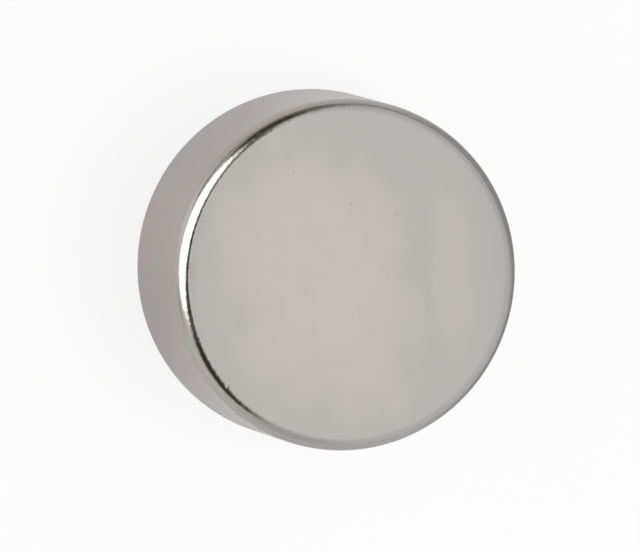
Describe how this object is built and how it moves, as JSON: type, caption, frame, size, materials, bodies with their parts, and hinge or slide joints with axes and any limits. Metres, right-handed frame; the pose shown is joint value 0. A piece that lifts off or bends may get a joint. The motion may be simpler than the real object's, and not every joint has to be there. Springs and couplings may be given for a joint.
{
  "type": "disc magnet",
  "caption": "Thick round disc magnet with flat pole faces, softly rounded rims and a straight side wall, nickel plated all over.",
  "frame": {"origin": "centre of the lower pole face", "axes": "+Z along the disc's axis, from the lower pole face to the upper one"},
  "size_m": [0.02, 0.02, 0.01],
  "materials": {
    "nickel_plate": "satin nickel plating, faintly mottled"
  },
  "bodies": {
    "root": {"magnet": "nickel_plate"}
  },
  "joints": []
}
